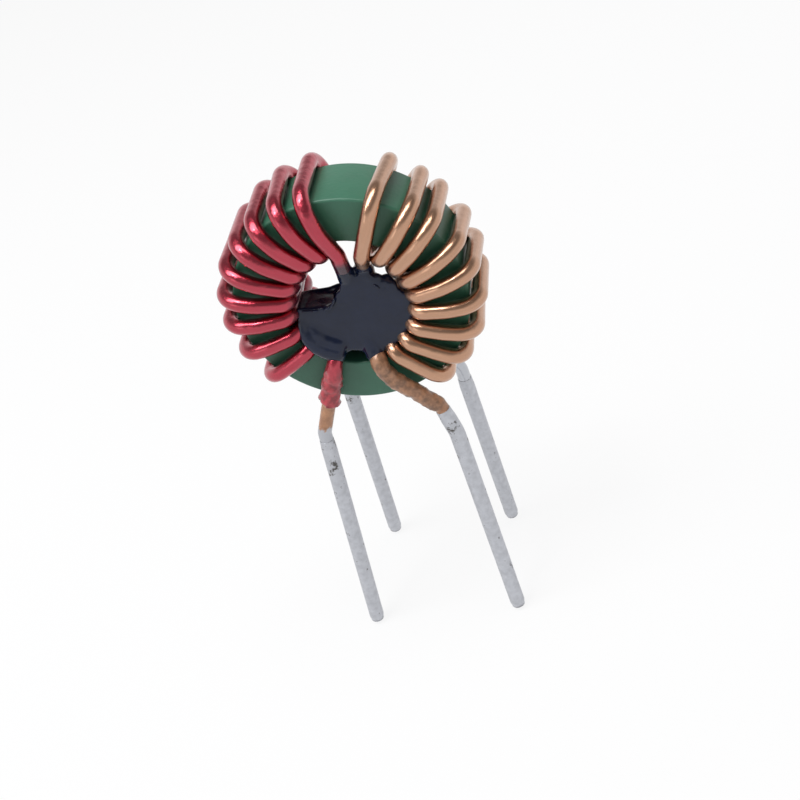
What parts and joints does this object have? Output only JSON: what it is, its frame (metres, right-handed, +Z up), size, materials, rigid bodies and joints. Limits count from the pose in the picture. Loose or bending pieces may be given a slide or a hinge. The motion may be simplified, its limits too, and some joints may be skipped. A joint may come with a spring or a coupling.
{
  "type": "toroidal inductor",
  "caption": "Common-mode inductor: a green coated ring on edge with a red and a copper-coloured winding, black adhesive in the hole and tinned wire leads.",
  "frame": {"origin": "under the middle of the ring, on the plane of the four lead tips", "axes": "+Z up from the lead tips to the ring, +Y along the ring's axis towards the rear leads, +X to the copper-coloured winding"},
  "size_m": [0.0207, 0.0126, 0.0433],
  "materials": {
    "ferrite": "matt sintered ferrite",
    "green_epoxy": "satin powder epoxy",
    "red_enamel": "glossy clear red enamel on copper",
    "copper_enamel": "glossy clear enamel on copper",
    "black_adhesive": "glossy cured adhesive",
    "solder": "dull dipped tin"
  },
  "bodies": {
    "root": {"ferrite_core": "ferrite", "core_coating": "green_epoxy", "red_winding": "red_enamel", "copper_winding": "copper_enamel", "centre_adhesive": "black_adhesive", "red_front_tinning": "solder", "red_rear_tinning": "solder", "copper_front_tinning": "solder", "copper_rear_tinning": "solder"}
  },
  "joints": []
}
